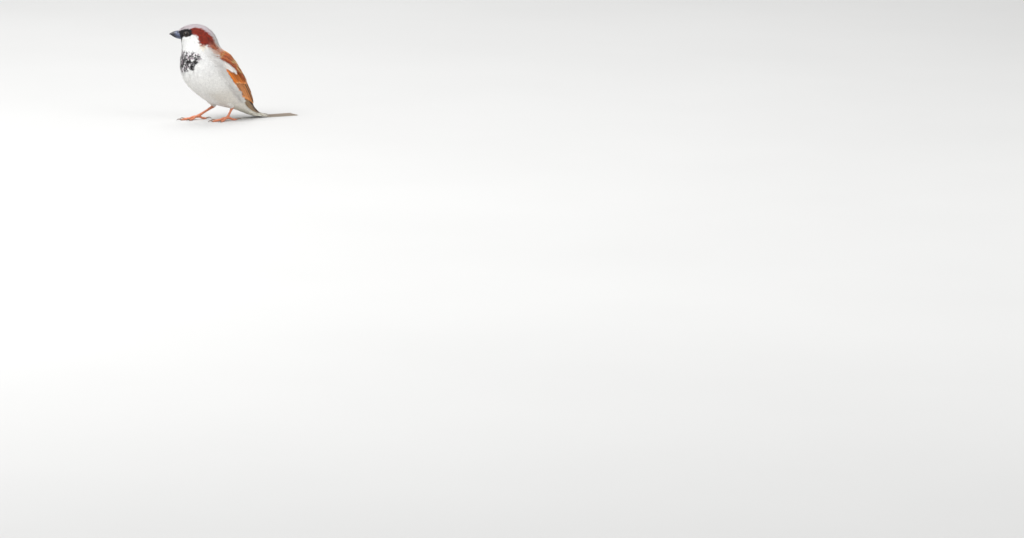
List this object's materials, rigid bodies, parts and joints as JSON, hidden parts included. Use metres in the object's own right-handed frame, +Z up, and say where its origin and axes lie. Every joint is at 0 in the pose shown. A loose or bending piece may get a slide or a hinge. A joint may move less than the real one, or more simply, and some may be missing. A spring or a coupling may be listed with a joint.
{
  "type": "house sparrow model",
  "caption": "Life-size still model of an adult male house sparrow standing upright, head turned to one side and the tail resting on the floor.",
  "frame": {"origin": "middle of the bird's footprint box, on the floor plane that its toes and tail rest on", "axes": "+Z up; the bird faces -Y and its tail points to +Y; its left side is +X"},
  "size_m": [0.0412, 0.1244, 0.0903],
  "materials": {
    "head_plumage": "soft dense feathering, matt",
    "pale_plumage": "soft loose feathering, matt",
    "wing_plumage": "overlapping feathers with pale edges, faint sheen",
    "flight_plumage": "stiff flight feathers, faint sheen",
    "tail_plumage": "stiff tail feathers, faint sheen",
    "bill_horn": "smooth blue-grey horn, satin",
    "leg_scale": "scaled skin, satin",
    "claw_horn": "smooth dark horn, satin",
    "eye_gloss": "wet dark eye, high gloss"
  },
  "bodies": {
    "root": {"head": "head_plumage", "neck": "pale_plumage", "trunk": "pale_plumage", "tail_coverts": "pale_plumage", "bill_upper": "bill_horn", "bill_lower": "bill_horn", "tail": "tail_plumage", "eye_left": "eye_gloss", "thigh_left": "pale_plumage", "tarsus_left": "leg_scale", "wing_left_coverts": "wing_plumage", "wing_left_secondaries": "wing_plumage", "wing_left_primaries": "flight_plumage", "toe_left_hind": "leg_scale", "claw_left_hind": "claw_horn", "toe_left_inner": "leg_scale", "claw_left_inner": "claw_horn", "toe_left_middle": "leg_scale", "claw_left_middle": "claw_horn", "toe_left_outer": "leg_scale", "claw_left_outer": "claw_horn", "eye_right": "eye_gloss", "thigh_right": "pale_plumage", "tarsus_right": "leg_scale", "wing_right_coverts": "wing_plumage", "wing_right_secondaries": "wing_plumage", "wing_right_primaries": "flight_plumage", "toe_right_hind": "leg_scale", "claw_right_hind": "claw_horn", "toe_right_inner": "leg_scale", "claw_right_inner": "claw_horn", "toe_right_middle": "leg_scale", "claw_right_middle": "claw_horn", "toe_right_outer": "leg_scale", "claw_right_outer": "claw_horn"}
  },
  "joints": []
}
